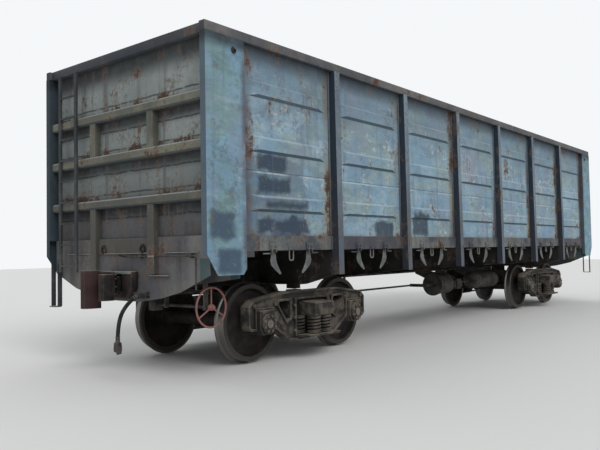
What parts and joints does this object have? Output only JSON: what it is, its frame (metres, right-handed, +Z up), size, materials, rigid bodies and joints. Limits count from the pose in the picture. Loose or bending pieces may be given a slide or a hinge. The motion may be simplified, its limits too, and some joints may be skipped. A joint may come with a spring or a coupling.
{
  "type": "four-axle open gondola wagon",
  "caption": "Open-top gondola wagon with ribbed sides, blind ends, bottom hatches and two three-piece bogies with knuckle couplers.",
  "frame": {"origin": "middle of the wagon, level with the lowest point of the wheel flanges", "axes": "+X along the wagon, +Z up, +Y across it"},
  "size_m": [13.92, 3.158, 3.788],
  "materials": {
    "side_paint": "weathered pale blue paint with rust",
    "post_paint": "weathered pale blue paint",
    "corner_paint": "pale blue paint with slate patches",
    "rail_steel": "weathered grey-brown steel",
    "sill_paint": "faded paint stained with rust",
    "end_paint": "dull grey-green paint with rust",
    "belt_paint": "dull olive-grey paint",
    "ladder_steel": "dark worn paint",
    "beam_paint": "grey-olive paint with brown dust",
    "frame_steel": "sooty dark underframe paint",
    "coupler_iron": "rusty worn casting",
    "brake_steel": "dusty dark grey",
    "handbrake_paint": "rusted red paint",
    "lock_paint": "pale grey worn casting",
    "hose_rubber": "dusty black rubber",
    "wheel_steel": "dark forged steel with worn tread",
    "hatch_steel": "dark rusty plate",
    "spring_steel": "dusty dark steel",
    "bogie_iron": "dusty brown-grey casting"
  },
  "bodies": {
    "wagon_body": {"air_distributor": "brake_steel", "air_reservoir": "brake_steel", "bolster_beams": "frame_steel", "brake_cylinder": "brake_steel", "brake_hose_a": "hose_rubber", "brake_hose_b": "hose_rubber", "brake_pipe": "brake_steel", "brake_rods": "brake_steel", "centre_sill": "frame_steel", "corner_posts": "corner_paint", "coupler_a": "coupler_iron", "coupler_b": "coupler_iron", "cross_beams": "frame_steel", "end_beams": "beam_paint", "end_belts_a": "belt_paint", "end_belts_b": "belt_paint", "end_rails": "rail_steel", "end_wall_a": "end_paint", "end_wall_b": "end_paint", "handbrake": "handbrake_paint", "hatch_locks_l": "lock_paint", "hatch_locks_r": "lock_paint", "hose_coupling_a": "brake_steel", "hose_coupling_b": "brake_steel", "ladders": "ladder_steel", "side_posts_l": "post_paint", "side_posts_r": "post_paint", "side_rails": "rail_steel", "side_sills": "sill_paint", "side_wall_l": "side_paint", "side_wall_r": "side_paint", "strikers": "coupler_iron"},
    "bogie_a": {"side_frames_a": "bogie_iron", "springs_a": "spring_steel", "bogie_bolster_a": "bogie_iron", "axle_boxes_a": "bogie_iron", "brake_beams_a": "bogie_iron"},
    "bogie_b": {"side_frames_b": "bogie_iron", "springs_b": "spring_steel", "bogie_bolster_b": "bogie_iron", "axle_boxes_b": "bogie_iron", "brake_beams_b": "bogie_iron"},
    "wheelset_a1": {"wheelset_a1": "wheel_steel"},
    "wheelset_a2": {"wheelset_a2": "wheel_steel"},
    "wheelset_b1": {"wheelset_b1": "wheel_steel"},
    "wheelset_b2": {"wheelset_b2": "wheel_steel"},
    "hatch_l1": {"hatch_l1": "hatch_steel"},
    "hatch_l2": {"hatch_l2": "hatch_steel"},
    "hatch_l3": {"hatch_l3": "hatch_steel"},
    "hatch_l4": {"hatch_l4": "hatch_steel"},
    "hatch_l5": {"hatch_l5": "hatch_steel"},
    "hatch_l6": {"hatch_l6": "hatch_steel"},
    "hatch_l7": {"hatch_l7": "hatch_steel"},
    "hatch_r1": {"hatch_r1": "hatch_steel"},
    "hatch_r2": {"hatch_r2": "hatch_steel"},
    "hatch_r3": {"hatch_r3": "hatch_steel"},
    "hatch_r4": {"hatch_r4": "hatch_steel"},
    "hatch_r5": {"hatch_r5": "hatch_steel"},
    "hatch_r6": {"hatch_r6": "hatch_steel"},
    "hatch_r7": {"hatch_r7": "hatch_steel"}
  },
  "joints": [
    {"name": "bogie_a_swivel", "type": "hinge", "parent": "wagon_body", "child": "bogie_a", "pos_m": [-4.325, 0, 0.828], "axis": [0, 0, 1], "range_deg": [-4, 4]},
    {"name": "wheelset_a1_spin", "type": "hinge", "parent": "bogie_a", "child": "wheelset_a1", "pos_m": [-5.25, 0, 0.5065], "axis": [0, 1, 0], "continuous": true},
    {"name": "wheelset_a2_spin", "type": "hinge", "parent": "bogie_a", "child": "wheelset_a2", "pos_m": [-3.4, 0, 0.5065], "axis": [0, 1, 0], "continuous": true},
    {"name": "bogie_b_swivel", "type": "hinge", "parent": "wagon_body", "child": "bogie_b", "pos_m": [4.325, 0, 0.828], "axis": [0, 0, 1], "range_deg": [-4, 4]},
    {"name": "wheelset_b1_spin", "type": "hinge", "parent": "bogie_b", "child": "wheelset_b1", "pos_m": [5.25, 0, 0.5065], "axis": [0, 1, 0], "continuous": true},
    {"name": "wheelset_b2_spin", "type": "hinge", "parent": "bogie_b", "child": "wheelset_b2", "pos_m": [3.4, 0, 0.5065], "axis": [0, 1, 0], "continuous": true},
    {"name": "hatch_l1_hinge", "type": "hinge", "parent": "wagon_body", "child": "hatch_l1", "pos_m": [-5.19, -0.1, 1.363], "axis": [1, 0, 0], "range_deg": [0, 24]},
    {"name": "hatch_l2_hinge", "type": "hinge", "parent": "wagon_body", "child": "hatch_l2", "pos_m": [-3.46, -0.1, 1.363], "axis": [1, 0, 0], "range_deg": [0, 24]},
    {"name": "hatch_l3_hinge", "type": "hinge", "parent": "wagon_body", "child": "hatch_l3", "pos_m": [-1.73, -0.1, 1.363], "axis": [1, 0, 0], "range_deg": [0, 31]},
    {"name": "hatch_l4_hinge", "type": "hinge", "parent": "wagon_body", "child": "hatch_l4", "pos_m": [0, -0.1, 1.363], "axis": [1, 0, 0], "range_deg": [0, 31]},
    {"name": "hatch_l5_hinge", "type": "hinge", "parent": "wagon_body", "child": "hatch_l5", "pos_m": [1.73, -0.1, 1.363], "axis": [1, 0, 0], "range_deg": [0, 31]},
    {"name": "hatch_l6_hinge", "type": "hinge", "parent": "wagon_body", "child": "hatch_l6", "pos_m": [3.46, -0.1, 1.363], "axis": [1, 0, 0], "range_deg": [0, 24]},
    {"name": "hatch_l7_hinge", "type": "hinge", "parent": "wagon_body", "child": "hatch_l7", "pos_m": [5.19, -0.1, 1.363], "axis": [1, 0, 0], "range_deg": [0, 24]},
    {"name": "hatch_r1_hinge", "type": "hinge", "parent": "wagon_body", "child": "hatch_r1", "pos_m": [-5.19, 0.1, 1.363], "axis": [-1, 0, 0], "range_deg": [0, 24]},
    {"name": "hatch_r2_hinge", "type": "hinge", "parent": "wagon_body", "child": "hatch_r2", "pos_m": [-3.46, 0.1, 1.363], "axis": [-1, 0, 0], "range_deg": [0, 24]},
    {"name": "hatch_r3_hinge", "type": "hinge", "parent": "wagon_body", "child": "hatch_r3", "pos_m": [-1.73, 0.1, 1.363], "axis": [-1, 0, 0], "range_deg": [0, 31]},
    {"name": "hatch_r4_hinge", "type": "hinge", "parent": "wagon_body", "child": "hatch_r4", "pos_m": [0, 0.1, 1.363], "axis": [-1, 0, 0], "range_deg": [0, 31]},
    {"name": "hatch_r5_hinge", "type": "hinge", "parent": "wagon_body", "child": "hatch_r5", "pos_m": [1.73, 0.1, 1.363], "axis": [-1, 0, 0], "range_deg": [0, 31]},
    {"name": "hatch_r6_hinge", "type": "hinge", "parent": "wagon_body", "child": "hatch_r6", "pos_m": [3.46, 0.1, 1.363], "axis": [-1, 0, 0], "range_deg": [0, 24]},
    {"name": "hatch_r7_hinge", "type": "hinge", "parent": "wagon_body", "child": "hatch_r7", "pos_m": [5.19, 0.1, 1.363], "axis": [-1, 0, 0], "range_deg": [0, 24]}
  ]
}
